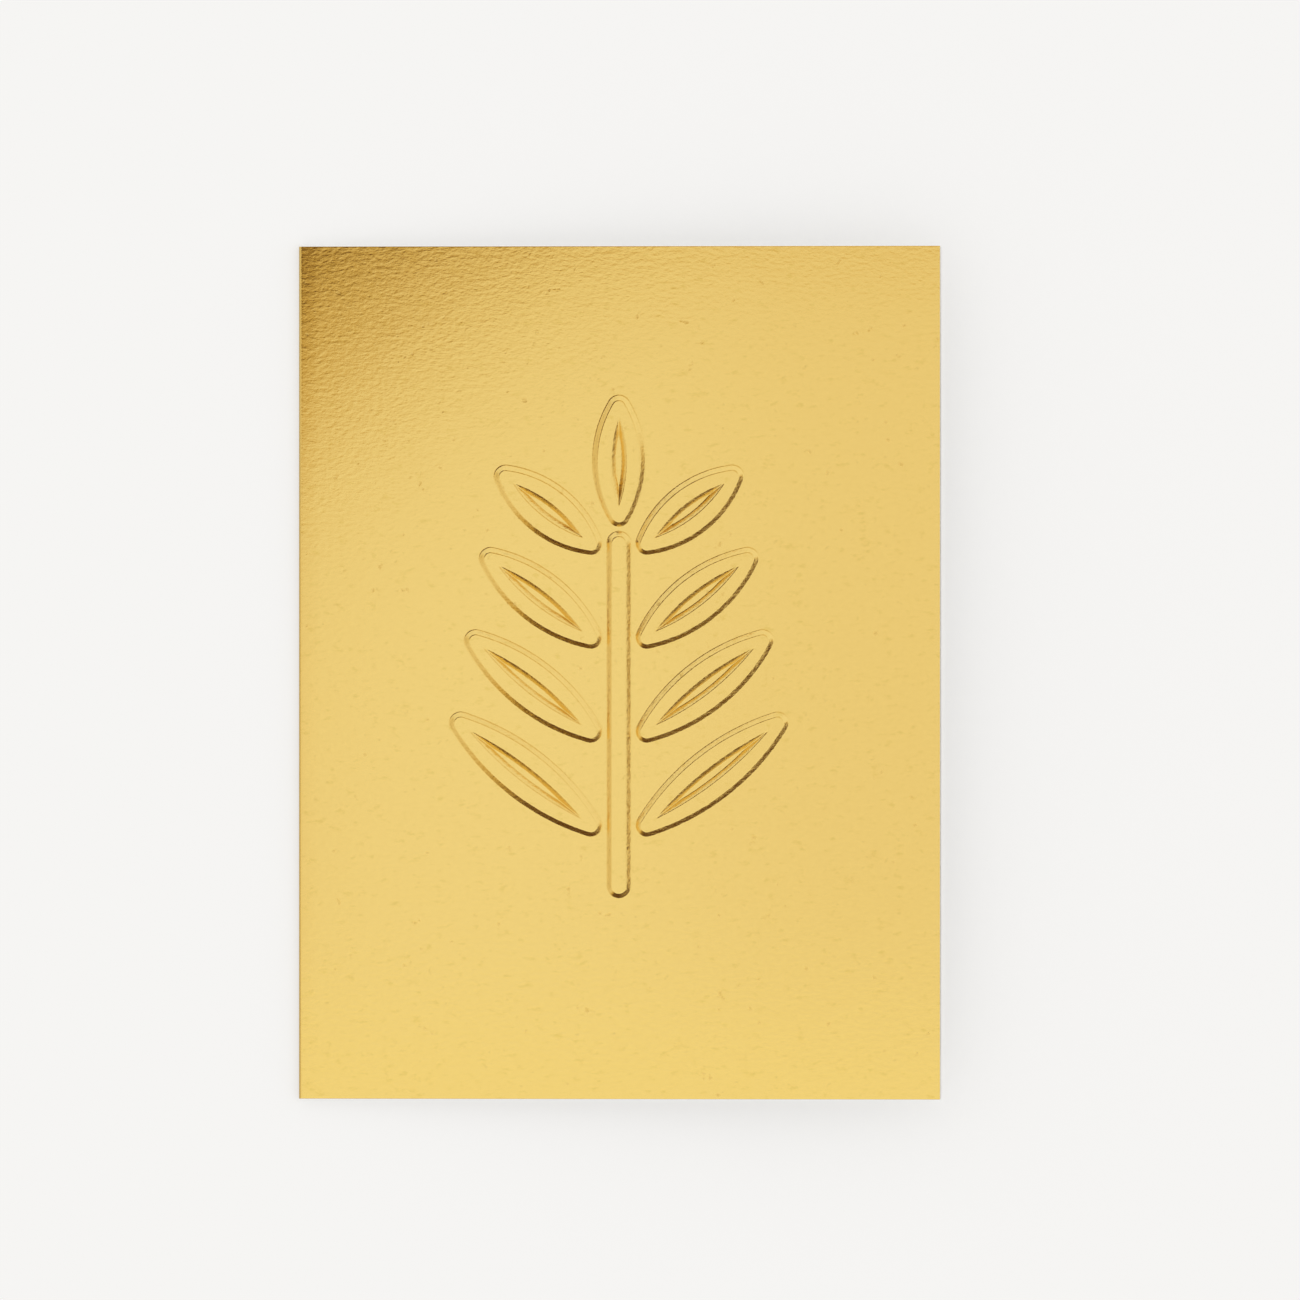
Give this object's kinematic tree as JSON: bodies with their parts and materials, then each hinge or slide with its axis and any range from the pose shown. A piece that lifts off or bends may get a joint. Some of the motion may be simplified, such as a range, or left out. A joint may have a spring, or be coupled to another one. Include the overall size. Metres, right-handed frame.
{
  "type": "greeting card",
  "caption": "Small folded greeting card of gold foil board, white inside, with a leaf sprig blind-embossed through its front leaf.",
  "frame": {"origin": "middle of the back leaf, on the outer face that the closed card lies on", "axes": "+X across the card from the fold to the fore-edge, +Y up the card, +Z out of its front"},
  "size_m": [0.09, 0.1194, 0.0075],
  "materials": {
    "gold_foil_board": "satin gold foil on the outside, matt white uncoated board inside and at the cut edges"
  },
  "bodies": {
    "root": {"card": "gold_foil_board"}
  },
  "joints": []
}
